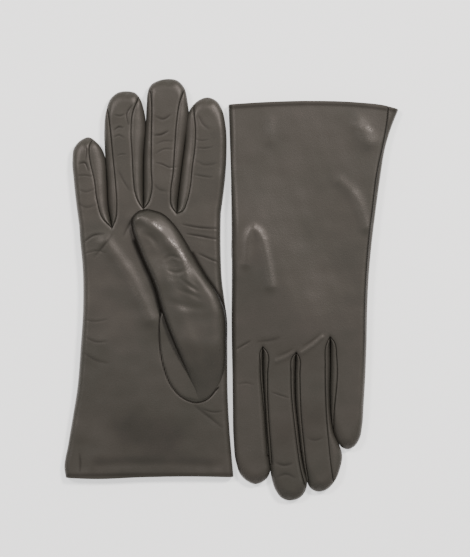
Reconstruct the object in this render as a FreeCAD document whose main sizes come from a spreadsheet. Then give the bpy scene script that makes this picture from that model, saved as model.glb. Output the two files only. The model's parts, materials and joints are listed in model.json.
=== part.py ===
"""A pair of lined leather dress gloves, lying flat beside each other.

The right glove lies palm up with its thumb folded over the palm. The left glove lies back up, turned
end for end, with its thumb folded under the palm. Each glove is built in its own frame: the cuff edge
lies on the X axis, the fingers point along +Y, the index finger is on the +X side and +Z is up.

A glove is a trank (the palm and back leather of hand and fingers), a thumb let into an oval hole in
the palm, fourchettes (the strips between the fingers), a turned-in cuff hem, and a knitted lining of
the same form inside. The leather is cut at the knuckles and at the thumb's fold, where it bends.
"""

import FreeCAD, Part
import math
import os

import Sketcher

# Driving dimensions in millimetres and degrees, one table per glove and one for both.
# A finger's root is the middle of its hinge line; its tip is a half round of its own radius.
FINGERS = ("little", "ring", "middle", "index")
SHARED = {
    "leather": 1.0,  # thickness of the leather
    "knit": 0.7,  # thickness of the lining
    "hem_depth": 20.0,  # how far the cuff is turned in
    "hinge_gap": 0.3,  # between a finger and the hand
    "finger_height": 12.5,
    "finger_round": 5.4,  # edge radius of a finger
    "axis_rise": 0.6,  # of the knuckle axis above the finger
    "thumb_height": 9.0,
    "thumb_round": 3.8,
    "thumb_gap": 0.4,  # between the thumb and what it lies on or under
    "dip": 0.1,  # of the hand's sections below the table, where the hand is cut flat
}
RIGHT = {
    "origin_x": -55.5, "origin_y": -129.0, "turn": 0.0,
    "little_x": -37.9, "little_y": 176.0, "little_turn": 4.3, "little_length": 57.4,
    "little_root": 11.1, "little_tip": 10.7,
    "ring_x": -16.2, "ring_y": 189.0, "ring_turn": 1.0, "ring_length": 75.8,
    "ring_root": 11.2, "ring_tip": 12.4,
    "middle_x": 7.1, "middle_y": 189.5, "middle_turn": -3.5, "middle_length": 82.9,
    "middle_root": 11.6, "middle_tip": 12.3,
    "index_x": 33.5, "index_y": 187.0, "index_turn": -4.6, "index_length": 73.0,
    "index_root": 14.3, "index_tip": 12.3,
    "seam_inset": 5.0,  # of the fourchette seams from a finger's edge
}
LEFT = {
    "origin_x": 47.6, "origin_y": 124.7, "turn": 180.0,
    "little_x": -32.1, "little_y": 162.0, "little_turn": 0.6, "little_length": 71.4,
    "little_root": 11.4, "little_tip": 10.6,
    "ring_x": -8.3, "ring_y": 171.0, "ring_turn": 3.0, "ring_length": 91.6,
    "ring_root": 11.2, "ring_tip": 10.5,
    "middle_x": 14.5, "middle_y": 171.0, "middle_turn": 3.6, "middle_length": 97.3,
    "middle_root": 10.7, "middle_tip": 10.6,
    "index_x": 36.2, "index_y": 168.0, "index_turn": 2.9, "index_length": 89.0,
    "index_root": 10.0, "index_tip": 11.0,
    "seam_inset": 3.5,
}
# Sections of the hand from the cuff to past the knuckles: distance from the cuff, left edge, right
# edge and height.
HAND_FIELDS = ("at", "low", "high", "rise")
RIGHT_HAND = (
    (0.0, -57.0, 55.6, 9.5),
    (34.0, -53.6, 53.0, 11.0),
    (78.0, -47.6, 51.8, 12.0),
    (124.0, -45.0, 49.4, 12.2),
    (158.0, -47.0, 47.2, 12.4),
    (198.0, -50.4, 49.6, 12.4),
)
LEFT_HAND = (
    (0.0, -65.0, 48.2, 9.5),
    (34.0, -56.0, 46.8, 12.0),
    (78.0, -49.0, 46.0, 18.6),
    (118.0, -45.2, 45.8, 19.0),
    (148.0, -44.2, 46.2, 17.0),
    (180.0, -43.6, 46.4, 13.2),
)
# The folded thumb's outline, counter-clockwise from its lower end, and the fold line that it turns
# about: both in the glove's frame, with the left glove's thumb set further back by thumb_back.
THUMB_OUTLINE = (
    (30.4, 62.0), (44.2, 122.0), (34.0, 147.0), (18.5, 169.0), (5.0, 182.0),
    (-8.0, 180.0), (-13.0, 164.0), (4.6, 118.0), (16.0, 86.0),
)
THUMB_CORNER = 6.0  # radius of the outline's corners
THUMB_FOLD = ((30.6, 54.4), (45.6, 122.4))
THUMB_BACK = {"right": 0.0, "left": 21.0}
# The oval hole in the palm that the thumb is sewn into, and the passage from hand to thumb in it.
THUMB_HOLE = ((8.0, 116.0), (9.0, 92.0), (15.0, 68.0), (25.5, 51.5), (35.0, 55.0), (42.5, 70.0),
              (44.5, 96.0), (43.0, 116.0))
HOLE_CORNER = 7.0
PASSAGE = ((18.0, 98.0), (22.0, 82.0), (30.0, 74.0), (34.5, 84.0), (36.5, 98.0), (34.0, 108.0),
           (20.0, 108.0))
PASSAGE_CORNER = 3.0
POCKET_CLEAR = 0.6  # more room round the folded thumb in its pocket
SWING = 4.0  # room past the thumb's ends where it swings out of its pocket
CORNER_SHARE = 0.46  # of a hand section's height in the radius of its corners
BEHIND = 2.0  # how far a finger's solid starts behind its root
SEAM_RUN = 5.0  # half the length over which a fourchette seam runs out over the finger's tip
SEAM_PAST = 1.0  # how far past the finger's edge the seam runs out
STEP_GAP = 0.3  # between the hand's step and the ring finger
THROUGH = 1.0  # how far a hole is cut past the leather and lining that it opens
BEYOND = 5.0  # how far a cutting tool reaches past what it cuts
WIDE, LONG, TALL = 90.0, 240.0, 40.0  # half width, length and height of tools that hold a whole glove

doc = FreeCAD.newDocument("leather_gloves")
dims = doc.addObject("Spreadsheet::Sheet", "dims")


class Size:
    """A length with the sheet expression that gives it, so that a sketch can be drawn and bound."""

    def __init__(self, value, text=None):
        self.value = float(value)
        self.text = repr(float(value)) if text is None else text

    def __add__(self, other):
        other = as_size(other)
        return Size(self.value + other.value, f"({self.text} + {other.text})")

    def __sub__(self, other):
        other = as_size(other)
        return Size(self.value - other.value, f"({self.text} - {other.text})")

    def __mul__(self, factor):
        return Size(self.value * factor, f"({self.text} * {factor!r})")

    def __neg__(self):
        return self * -1.0


def as_size(value):
    return value if isinstance(value, Size) else Size(value)


def fill_sheet():
    """Writes every driving dimension as a plain number with an alias."""
    rows = list(SHARED.items())
    for side, table, hand in (("right", RIGHT, RIGHT_HAND), ("left", LEFT, LEFT_HAND)):
        rows += [(f"{side}_{name}", value) for name, value in table.items()]
        for i, section in enumerate(hand):
            rows += [(f"{side}_hand{i}_{f}", v) for f, v in zip(HAND_FIELDS, section)]
    for row, (alias, value) in enumerate(rows, 1):
        dims.set(f"A{row}", alias)
        dims.set(f"B{row}", str(value))
        dims.setAlias(f"B{row}", alias)
    doc.recompute()


def dim(alias):
    """The sheet's value of that alias, with its expression."""
    return Size(dims.get(alias), f"dims.{alias}")


def plane_of(body, role):
    return next(f for f in body.Origin.OriginFeatures if f.Role == role)


def bind(sketch, kind, where, size):
    """Adds a dimension to a sketch and ties it to the sheet."""
    index = sketch.addConstraint(Sketcher.Constraint(kind, *where, size.value))
    if "dims." in size.text:
        sketch.setExpression(f"Constraints[{index}]", size.text)


def attach(body, sketch, role, lift=None):
    """Lays a sketch on one of its body's planes, lifted along the plane's normal."""
    sketch.AttachmentSupport = [(plane_of(body, role), "")]
    sketch.MapMode = "FlatFace"
    if lift is not None:
        sketch.AttachmentOffset = FreeCAD.Placement(
            FreeCAD.Vector(0, 0, lift.value), FreeCAD.Rotation()
        )
        if "dims." in lift.text:
            sketch.setExpression("AttachmentOffset.Base.z", lift.text)


def pad(body, sketch, height):
    made = body.newObject("PartDesign::Pad", body.Name + "_pad")
    made.Profile = sketch
    made.Length = height.value
    if "dims." in height.text:
        made.setExpression("Length", height.text)
    doc.recompute()
    return made


def fillet(body, base, wanted, radius):
    """Rounds those edges of the base feature that the test wants."""
    names = [f"Edge{i}" for i, e in enumerate(base.Shape.Edges, 1) if wanted(e)]
    made = body.newObject("PartDesign::Fillet", base.Name + "_round")
    made.Base = (base, names)
    made.Radius = radius.value
    if "dims." in radius.text:
        made.setExpression("Radius", radius.text)
    doc.recompute()
    return made


def flat_edge(edge):
    """True for an edge that lies level, such as those round a pad's top and bottom."""
    return edge.BoundBox.ZLength < 1e-6


def polygon_body(name, points, low, height, corner=0.0):
    """A flat-topped body over a polygon with rounded corners."""
    body = doc.addObject("PartDesign::Body", name)
    sketch = body.newObject("Sketcher::SketchObject", name + "_outline")
    attach(body, sketch, "XY_Plane", as_size(low))
    count = len(points)
    at = [FreeCAD.Vector(as_size(x).value, as_size(y).value, 0) for x, y in points]
    for i in range(count):
        sketch.addGeometry(Part.LineSegment(at[i], at[(i + 1) % count]))
    for i in range(count):
        sketch.addConstraint(Sketcher.Constraint("Coincident", i, 2, (i + 1) % count, 1))
    for i, (x, y) in enumerate(points):
        bind(sketch, "DistanceX", (-1, 1, i, 1), as_size(x))
        bind(sketch, "DistanceY", (-1, 1, i, 1), as_size(y))
    base = pad(body, sketch, as_size(height))
    if corner:
        fillet(body, base, lambda e: not flat_edge(e), as_size(corner))
    return body


def finger_body(name, root, tip, length, height, inset, rounding):
    """A finger lying along +Y from a little behind its root, every side moved inwards by inset."""
    body = doc.addObject("PartDesign::Body", name)
    sketch = body.newObject("Sketcher::SketchObject", name + "_outline")
    attach(body, sketch, "XY_Plane", inset)
    root, tip, behind = root - inset, tip - inset, Size(-BEHIND)
    centre = length - inset - tip
    left, right = (FreeCAD.Vector(s * root.value, behind.value, 0) for s in (-1, 1))
    left_top, right_top = (FreeCAD.Vector(s * tip.value, centre.value, 0) for s in (-1, 1))
    top = FreeCAD.Vector(0, centre.value + tip.value, 0)
    base_line = sketch.addGeometry(Part.LineSegment(left, right))
    right_line = sketch.addGeometry(Part.LineSegment(right, right_top))
    tip_arc = sketch.addGeometry(Part.Arc(right_top, top, left_top))
    left_line = sketch.addGeometry(Part.LineSegment(left_top, left))
    sketch.addConstraint(Sketcher.Constraint("Coincident", base_line, 2, right_line, 1))
    sketch.addConstraint(Sketcher.Constraint("Coincident", left_line, 2, base_line, 1))
    sketch.addConstraint(Sketcher.Constraint("Tangent", right_line, 2, tip_arc, 1))
    sketch.addConstraint(Sketcher.Constraint("Tangent", tip_arc, 2, left_line, 1))
    bind(sketch, "DistanceX", (-1, 1, base_line, 1), -root)
    bind(sketch, "DistanceY", (-1, 1, base_line, 1), behind)
    bind(sketch, "DistanceX", (-1, 1, base_line, 2), root)
    bind(sketch, "DistanceY", (-1, 1, base_line, 2), behind)
    bind(sketch, "DistanceX", (-1, 1, tip_arc, 3), Size(0.0))
    bind(sketch, "DistanceY", (-1, 1, tip_arc, 3), centre)
    bind(sketch, "Radius", (tip_arc,), tip)
    base = pad(body, sketch, height - inset * 2.0)
    at_root = behind.value + 1e-3
    fillet(body, base, lambda e: flat_edge(e) and e.BoundBox.YMax > at_root, rounding - inset)
    return body


def section_sketch(body, name, side, index, inset):
    """One rounded cross-section of the hand, standing across the glove."""
    field = {f: dim(f"{side}_hand{index}_{f}") for f in HAND_FIELDS}
    sketch = body.newObject("Sketcher::SketchObject", name)
    attach(body, sketch, "XZ_Plane", -field["at"])
    low, high = field["low"] + inset, field["high"] - inset
    bottom, top = inset - dim("dip"), field["rise"] - inset
    radius = (field["rise"] - inset * 2.0) * CORNER_SHARE
    x0, x1, z0, z1, r = (s.value for s in (low, high, bottom, top, radius))
    corners = ((x1 - r, z0 + r, -90), (x1 - r, z1 - r, 0), (x0 + r, z1 - r, 90), (x0 + r, z0 + r, 180))
    arcs = []
    for x, z, start in corners:
        a0 = math.radians(start)
        circle = Part.Circle(FreeCAD.Vector(x, z, 0), FreeCAD.Vector(0, 0, 1), r)
        arcs.append(sketch.addGeometry(Part.ArcOfCircle(circle, a0, a0 + math.pi / 2)))
    sides = (
        ((x1, z0 + r), (x1, z1 - r)), ((x1 - r, z1), (x0 + r, z1)),
        ((x0, z1 - r), (x0, z0 + r)), ((x0 + r, z0), (x1 - r, z0)),
    )
    for i, (start, end) in enumerate(sides):
        line = sketch.addGeometry(Part.LineSegment(FreeCAD.Vector(*start, 0), FreeCAD.Vector(*end, 0)))
        sketch.addConstraint(Sketcher.Constraint("Tangent", arcs[i], 2, line, 1))
        sketch.addConstraint(Sketcher.Constraint("Tangent", line, 2, arcs[(i + 1) % 4], 1))
        sketch.addConstraint(Sketcher.Constraint("Vertical" if i % 2 == 0 else "Horizontal", line))
    for arc in arcs[1:]:
        sketch.addConstraint(Sketcher.Constraint("Equal", arcs[0], arc))
    bind(sketch, "Radius", (arcs[0],), radius)
    bind(sketch, "DistanceX", (-1, 1, arcs[0], 2), high)
    bind(sketch, "DistanceX", (-1, 1, arcs[2], 2), low)
    bind(sketch, "DistanceY", (-1, 1, arcs[0], 1), bottom)
    bind(sketch, "DistanceY", (-1, 1, arcs[1], 2), top)
    return sketch


def hand_body(side, name, inset, count):
    """The hand from the cuff to past the knuckles, lofted through its sections."""
    body = doc.addObject("PartDesign::Body", name)
    sections = [section_sketch(body, f"{name}_section{i}", side, i, inset) for i in range(count)]
    doc.recompute()
    loft = body.newObject("PartDesign::AdditiveLoft", name + "_loft")
    loft.Profile = sections[0]
    loft.Sections = sections[1:]
    doc.recompute()
    return body


def box(name, low, high):
    """A cutting box between two corners."""
    made = doc.addObject("Part::Box", name)
    made.Length, made.Width, made.Height = (b - a for a, b in zip(low, high))
    made.Placement.Base = FreeCAD.Vector(*low)
    return made


def combine(kind, name, base, tool):
    """Part::Cut, Part::Common or Part::Fuse of two objects."""
    made = doc.addObject(kind, name)
    made.Base, made.Tool = base, tool
    return made


def cut(name, base, tool):
    return combine("Part::Cut", name, base, tool)


def common(name, base, tool):
    return combine("Part::Common", name, base, tool)


def fuse(name, base, tool):
    return combine("Part::Fuse", name, base, tool)


sub_parts = []


def keep(node, shape_object, placement):
    """Names a finished sub-part and puts it where it lies."""
    shape_object.Label = node
    shape_object.Placement = placement
    sub_parts.append(shape_object)


def glove_placement(side):
    turn = dim(f"{side}_turn").value
    origin = FreeCAD.Vector(dim(f"{side}_origin_x").value, dim(f"{side}_origin_y").value, 0)
    return FreeCAD.Placement(origin, FreeCAD.Rotation(FreeCAD.Vector(0, 0, 1), turn))


def finger_placement(side, finger):
    """From the finger's own frame, with its root at the origin, to the glove's frame."""
    root = FreeCAD.Vector(dim(f"{side}_{finger}_x").value, dim(f"{side}_{finger}_y").value, 0)
    turn = dim(f"{side}_{finger}_turn").value
    return FreeCAD.Placement(root, FreeCAD.Rotation(FreeCAD.Vector(0, 0, 1), turn))


def strip_outline(root, tip, length, inset, left_seam, right_seam):
    """The plan of a finger's palm and back leather: between the fourchette seams, and the whole tip.
    A side with no fourchette is left outside the finger, so that the leather goes round it."""
    start, end = dim("hinge_gap") * 0.5, length + BEYOND
    seam_top, leaves = length - tip - SEAM_RUN, length - tip + SEAM_RUN

    def side(sign, seam):
        out = tip + BEYOND
        if not seam:
            return [(out * sign, start), (out * sign, end)]
        near_root, near_tip = root - inset, tip - inset
        return [(near_root * sign, start), (near_tip * sign, seam_top), ((tip + SEAM_PAST) * sign, leaves),
                (out * sign, end)]

    return side(1.0, right_seam) + side(-1.0, left_seam)[::-1]


def build_finger(side, finger):
    """Leather, fourchettes and lining of one finger."""
    name = f"{side}_{finger}"
    root, tip, length = (dim(f"{name}_{f}") for f in ("root", "tip", "length"))
    height, rounding = dim("finger_height"), dim("finger_round")
    leather, knit = dim("leather"), dim("knit")
    outer, middle, inner = (
        finger_body(f"{name}_solid{i}", root, tip, length, height, inset, rounding)
        for i, inset in enumerate((Size(0.0), leather, leather + knit))
    )
    shell = cut(f"{name}_shell", outer, middle)
    has_left, has_right = finger != "little", finger != "index"
    outline = strip_outline(root, tip, length, dim(f"{side}_seam_inset"), has_left, has_right)
    strips = polygon_body(f"{name}_strips", outline, -BEYOND, height + 2 * BEYOND)
    start = dim("hinge_gap").value / 2
    reach, end, top = tip.value + 2 * BEYOND, length.value + BEYOND, height.value + BEYOND
    place = glove_placement(side) * finger_placement(side, finger)
    trunk = common(f"{name}_trank", shell, strips)
    if has_left and has_right:
        faces = {"right": ("back", "palm"), "left": ("palm", "back")}[side]
        half = height.value / 2
        lower = box(f"{name}_lower", (-reach, start, -BEYOND), (reach, end, half))
        upper = box(f"{name}_upper", (-reach, start, half), (reach, end, top))
        keep(f"{name}_{faces[0]}_leather", common(f"{name}_low_strip", trunk, lower), place)
        keep(f"{name}_{faces[1]}_leather", common(f"{name}_top_strip", trunk, upper), place)
    else:
        keep(f"{name}_leather", trunk, place)
    walls = cut(f"{name}_walls", shell, strips)
    for has, which, low, high in ((has_left, "outer", -reach, 0.0), (has_right, "inner", 0.0, reach)):
        if has:
            # The outer side of a finger faces the little finger, and the inner side the index.
            half_space = box(f"{name}_{which}_side", (low, start, -BEYOND), (high, end, top))
            keep(f"{name}_{which}_fourchette", common(f"{name}_{which}_wall", walls, half_space), place)
    sleeve = cut(f"{name}_sleeve", middle, inner)
    ahead = box(f"{name}_ahead", (-reach, start, -BEYOND), (reach, end, top))
    keep(f"{name}_lining", common(f"{name}_sock", sleeve, ahead), place)


def front_outline(side, inset):
    """The plan of the hand: its front runs along the fingers' hinge lines, stepping at the little
    finger. The step moves inwards by inset, and the open mouths of the fingers move forwards."""
    ahead = BEYOND if inset else -dim("hinge_gap").value / 2
    line = []
    for finger in FINGERS:
        place = finger_placement(side, finger)
        half = dim(f"{side}_{finger}_root").value
        line.append([place.multVec(FreeCAD.Vector(s * half, ahead, 0)) for s in (-1, 1)])
    little, ring, index = line[0], line[1], line[3]
    step = ring[0].x + inset + STEP_GAP
    points = [(-WIDE, -BEYOND), (WIDE, -BEYOND), (WIDE, index[1].y)]
    points += [(index[1].x, index[1].y), (index[0].x, index[0].y)]
    points += [(line[2][1].x, line[2][1].y), (line[2][0].x, line[2][0].y), (ring[1].x, ring[1].y)]
    points += [(step, ring[0].y), (step + (little[1].x - ring[0].x), little[1].y)]
    points += [(little[0].x, little[0].y), (-WIDE, little[0].y)]
    return points


def thumb_points(side, outline):
    return [(x, y - THUMB_BACK[side]) for x, y in outline]


def grown(outline, by):
    """A convex outline with every side moved outwards by that much, counter-clockwise."""
    count, sides = len(outline), []
    for i, (x0, y0) in enumerate(outline):
        x1, y1 = outline[(i + 1) % count]
        long = math.hypot(x1 - x0, y1 - y0)
        nx, ny = (y1 - y0) / long, (x0 - x1) / long
        sides.append((nx, ny, nx * x0 + ny * y0 + by))
    made = []
    for i in range(count):
        (a, b, c), (d, e, f) = sides[i - 1], sides[i]
        det = a * e - b * d
        made.append(((c * e - b * f) / det, (a * f - c * d) / det))
    return made


def pocket_roof():
    """Height of the left palm above the folded thumb."""
    return dim("thumb_height").value + 2 * dim("thumb_gap").value


def pocket(name, inset):
    """The room under the left palm that the folded thumb lies in, open towards the index side."""
    gap = dim("thumb_gap").value
    outline = thumb_points("left", grown(THUMB_OUTLINE, gap + inset + POCKET_CLEAR))
    high = pocket_roof() + inset
    bed = polygon_body(f"{name}_bed", outline, -BEYOND, high + BEYOND)
    (low_x, low_y), (_, high_y) = outline[:2]
    side_cut = box(f"{name}_side", (low_x, low_y - SWING, -BEYOND), (WIDE, high_y + 3 * SWING, high))
    return fuse(name, bed, side_cut)


def thumb_body(side, name, inset, low):
    """The folded thumb as a rounded flat tube, every side moved inwards by inset."""
    height = dim("thumb_height").value
    outline = thumb_points(side, grown(THUMB_OUTLINE, -inset))
    body = polygon_body(name, outline, low + inset, height - 2 * inset, THUMB_CORNER - inset)
    rounding = dim("thumb_round").value - inset
    fillet(body, body.Tip, flat_edge, Size(rounding))
    return body


def build_hand(side):
    """Trank, hem, thumb piece and lining of the hand, and the thumb itself."""
    leather, knit = dim("leather"), dim("knit")
    hand = {"right": RIGHT_HAND, "left": LEFT_HAND}[side]
    insets = (Size(0.0), leather, leather + knit)
    solids = [hand_body(side, f"{side}_hand_solid{i}", n, len(hand)) for i, n in enumerate(insets)]
    regions = [
        polygon_body(f"{side}_front{i}", front_outline(side, n.value), n, TALL)
        for i, n in enumerate(insets)
    ]
    solids = [common(f"{side}_hand_front{i}", s, r) for i, (s, r) in enumerate(zip(solids, regions))]
    if side == "left":
        solids = [
            cut(f"left_hand_bed{i}", s, pocket(f"left_pocket{i}", n.value))
            for i, (s, n) in enumerate(zip(solids, insets))
        ]
    outer, middle, inner = solids
    place = glove_placement(side)
    top = hand[3][3]
    wall = leather.value + knit.value + THROUGH
    low, high = {"right": (top / 2, top + BEYOND), "left": (pocket_roof(), pocket_roof() + wall)}[side]
    hole = polygon_body(f"{side}_thumb_hole", thumb_points(side, THUMB_HOLE), low, high - low, HOLE_CORNER)
    way = polygon_body(f"{side}_passage", thumb_points(side, PASSAGE), low, high - low, PASSAGE_CORNER)
    shell = cut(f"{side}_hand_shell", outer, middle)
    open_ends = box(f"{side}_between", (-WIDE, 0.0, -BEYOND), (WIDE, LONG, TALL))
    tube = common(f"{side}_hand_between", shell, open_ends)
    keep(f"{side}_trank_hand", cut(f"{side}_trank", tube, hole), place)
    seat = common(f"{side}_thumb_seat", shell, hole)
    keep(f"{side}_thumb_gusset", cut(f"{side}_gusset", seat, way), place)
    sleeve = cut(f"{side}_hand_sleeve", middle, inner)
    depth = dim("hem_depth").value
    cuff_end = box(f"{side}_cuff_end", (-WIDE, 0.0, -BEYOND), (WIDE, depth, TALL))
    keep(f"{side}_cuff_hem", common(f"{side}_hem", sleeve, cuff_end), place)
    rest = box(f"{side}_past_hem", (-WIDE, depth, -BEYOND), (WIDE, LONG, TALL))
    front = polygon_body(f"{side}_lining_front", front_outline(side, 0.0), -BEYOND, TALL)
    sock = common(f"{side}_sock_front", common(f"{side}_sock_back", sleeve, rest), front)
    keep(f"{side}_hand_lining", cut(f"{side}_hand_sock", sock, way), place)
    build_thumb(side, top, place)


def build_thumb(side, palm_height, place):
    """The thumb's leather and lining, with the way in from the hand."""
    leather, knit, gap = dim("leather").value, dim("knit").value, dim("thumb_gap").value
    height = dim("thumb_height").value
    low = palm_height + gap if side == "right" else gap
    outer, middle, inner = (
        thumb_body(side, f"{side}_thumb_solid{i}", inset, low)
        for i, inset in enumerate((0.0, leather, leather + knit))
    )
    wall = leather + knit + THROUGH
    way_low = low - THROUGH if side == "right" else low + height - wall
    way = polygon_body(
        f"{side}_thumb_way", thumb_points(side, PASSAGE), way_low, wall + THROUGH, PASSAGE_CORNER
    )
    for node, around, within in (("leather", outer, middle), ("lining", middle, inner)):
        tube = cut(f"{side}_thumb_{node}_tube", around, within)
        keep(f"{side}_thumb_{node}", cut(f"{side}_thumb_{node}_cut", tube, way), place)


def check_document():
    """Stops if any object failed, or if a sub-part isn't one or more valid solids."""
    bad = [o.Name for o in doc.Objects if {"Invalid", "Error"} & set(o.State)]
    if bad:
        raise RuntimeError(f"these objects failed: {bad}")
    for part in sub_parts:
        shape = part.Shape
        if shape.isNull() or not shape.isValid() or not shape.Solids:
            raise RuntimeError(f"{part.Label} has no valid shape")


def main():
    fill_sheet()
    for side in ("right", "left"):
        build_hand(side)
        for finger in FINGERS:
            build_finger(side, finger)
    doc.recompute()
    check_document()
    os.makedirs("parts", exist_ok=True)
    for part in sub_parts:
        part.Shape.exportStep(f"parts/{part.Label}.step")
        print(part.Label, len(part.Shape.Solids), "solids", round(part.Shape.Volume), "mm3")


main()
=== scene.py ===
"""A pair of lined leather dress gloves, lying flat side by side on a white table.

The right glove lies palm up with its thumb folded over the palm. The left glove lies back up, turned end
for end, with its thumb folded beneath it. Shapes are written in millimetres in each glove's own frame: the
cuff lies along X, the fingers point along +Y, the index finger is on the +X side and +Z is up.

Each glove is one leather skin in two halves, an upper and a lower height field over the glove's outline.
The skin is cut into the real glove's pieces along its seams. The sides of the fingers are fourchettes.
"""

import json
import math

import bpy
import numpy as np
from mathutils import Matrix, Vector


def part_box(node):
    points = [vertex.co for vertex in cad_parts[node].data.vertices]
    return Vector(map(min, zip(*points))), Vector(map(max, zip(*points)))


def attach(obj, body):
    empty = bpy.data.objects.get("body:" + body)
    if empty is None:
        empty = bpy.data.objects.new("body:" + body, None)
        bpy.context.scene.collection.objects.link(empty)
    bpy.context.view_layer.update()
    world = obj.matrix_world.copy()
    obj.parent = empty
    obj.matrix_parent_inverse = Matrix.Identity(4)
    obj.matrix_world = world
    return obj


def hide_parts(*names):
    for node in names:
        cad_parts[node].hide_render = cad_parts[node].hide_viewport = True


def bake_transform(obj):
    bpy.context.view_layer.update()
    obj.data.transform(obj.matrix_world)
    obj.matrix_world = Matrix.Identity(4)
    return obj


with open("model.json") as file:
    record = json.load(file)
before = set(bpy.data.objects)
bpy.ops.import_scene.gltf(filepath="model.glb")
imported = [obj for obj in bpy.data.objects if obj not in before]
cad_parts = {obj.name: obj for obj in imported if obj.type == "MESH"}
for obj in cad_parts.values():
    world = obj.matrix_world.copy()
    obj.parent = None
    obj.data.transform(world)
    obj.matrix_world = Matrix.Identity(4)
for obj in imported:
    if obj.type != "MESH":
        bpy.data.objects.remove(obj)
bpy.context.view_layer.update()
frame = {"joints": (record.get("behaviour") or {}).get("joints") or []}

MM = 0.001
FINGERS = ("little", "ring", "middle", "index")
GRID = 0.55  # spacing of the leather's mesh
TABLE_GAP = 0.25  # the leather's lowest point above the table
PRESS = 0.06  # how far a finger's side presses past the line where it meets its neighbour
ROLL = 5.2  # width of the leather's roll at a glove's edge
SEAM_DIP = 0.45  # how far the leather sinks beside a seam
SEAM_DIP_WIDTH = 1.3
SEAM_CUT = 0.6  # depth of the seam itself
SEAM_CUT_WIDTH = 0.3
MARGIN_STEP = 0.9  # how much lower the narrow margin outside the left glove's outseam lies
THUMB_REST = 0.4  # the folded left thumb's lowest point above the table
THUMB_ROOF = 9.6  # height of the left palm above its folded thumb
THUMB_BASE_ROOF = 6.4  # and above the thumb's narrow lower end
HEM_DEPTH = 20.0  # how far the leather is turned in at the cuff
HEM_FOLD = 0.7  # radius of the fold there
LINING_END = 150.0  # how far from the cuff the hand's lining reaches
LINING_DEPTH = 1.7  # of the lining inside the leather, at the hem
LINING_DEEPER = 0.8  # and how much more beyond it
HAND_LENGTH = 175.0  # shared out among the hand's rows of mesh
FINGER_COLUMNS = 38  # of mesh across a finger
SIDE_COLUMNS = 25  # and across a fourchette
SIDE_SINK = 1.8  # how far a fourchette's fold sinks between two fingers
THUMB_SIZE = (170, 64)  # rows and columns of mesh
GUSSET_SIZE = (110, 48)  # the same for a gusset
FINGER_BEND_REACH = 8.0  # how far past its hinge a finger's blend reaches
THUMB_BEND_INWARD = 8.0  # how far the thumb's blend reaches on its own side of the hinge line
THUMB_BEND_OUTWARD = 2.0  # and on the hand's side
CREASE_SHARE = 0.55  # how much of a crease's depth shows in the leather's height

# In metres.
LIGHT_SIZE = 0.5
CAMERA_HEIGHT = 1.9
LEVEL = 0.01  # of the gloves' outline, for the camera
VIEW_WIDTH = 0.3196  # what the camera sees across at that level
VIEW_MIDDLE = (0.00264, 0.00668)

# Where each glove's own zero lies: at the cuff's level, a fixed way in from the CAD cuff's far corner.
RIGHT_CORNER, LEFT_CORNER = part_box("right_trank_hand")[0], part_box("left_trank_hand")[1]
RIGHT_WAY_IN, LEFT_WAY_IN = 57.0, 56.6
RIGHT_ORIGIN = (RIGHT_CORNER[0] / MM + RIGHT_WAY_IN, RIGHT_CORNER[1] / MM)
LEFT_ORIGIN = (LEFT_CORNER[0] / MM - LEFT_WAY_IN, LEFT_CORNER[1] / MM)


# ---- curves and distances


def smooth_line(points, step=0.8):
    """A smooth curve through the points, given as a row of places about a step apart."""
    p = np.asarray(points, float)
    gap = np.linalg.norm(np.diff(p, axis=0), axis=1)
    slope = np.diff(p, axis=0) / gap[:, None]
    inner = (slope[:-1] * gap[1:, None] + slope[1:] * gap[:-1, None]) / (gap[1:] + gap[:-1])[:, None]
    tangent = np.vstack([slope[:1], inner, slope[-1:]])
    rows = []
    for i, length in enumerate(gap):
        t = np.linspace(0, 1, max(2, int(length / step)), endpoint=False)[:, None]
        ends = (2 * t**3 - 3 * t**2 + 1) * p[i] + (3 * t**2 - 2 * t**3) * p[i + 1]
        bends = (t**3 - 2 * t**2 + t) * tangent[i] + (t**3 - t**2) * tangent[i + 1]
        rows.append(ends + bends * length)
    return np.vstack(rows + [p[-1:]])


def run_of(line):
    """Length along a line up to each of its places."""
    return np.concatenate([[0.0], np.cumsum(np.linalg.norm(np.diff(line, axis=0), axis=1))])


def along(line, fraction):
    """The places at those fractions of a line's length."""
    run = run_of(line)
    at = np.asarray(fraction) * run[-1]
    return np.stack([np.interp(at, run, line[:, k]) for k in range(line.shape[1])], -1)


def smooth_value(at, knots):
    """A smooth value through (place, value) knots."""
    line = smooth_line(knots, 1.0)
    return np.interp(at, line[:, 0], line[:, 1])


def smoothstep(value, low=0.0, high=1.0):
    """0 below low, 1 above high and a smooth change between them."""
    t = np.clip((value - low) / (high - low), 0, 1)
    return t * t * (3 - 2 * t)


def nearest(places, line, reach=20.0):
    """For each place, the distance to a line and the length along the line there. Places further than
    the reach from the line's box keep a large distance."""
    flat = places[..., :2].reshape(-1, 2)
    distance = np.full(len(flat), 1e3)
    length = np.zeros(len(flat))
    low, high = line.min(0) - reach, line.max(0) + reach
    near = np.where(np.all((flat > low) & (flat < high), axis=1))[0]
    if len(near):
        p, run = flat[near], run_of(line)
        best = np.full(len(p), 1e6)
        where = np.zeros(len(p))
        for a, b, start, end in zip(line[:-1], line[1:], run[:-1], run[1:]):
            side = b - a
            t = np.clip(((p - a) @ side) / max(side @ side, 1e-12), 0, 1)
            gap = ((p - a - t[:, None] * side) ** 2).sum(1)
            closer = gap < best
            best[closer] = gap[closer]
            where[closer] = (start + t * (end - start))[closer]
        distance[near], length[near] = np.sqrt(best), where
    shape = places.shape[:-1]
    return distance.reshape(shape), length.reshape(shape)


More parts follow.
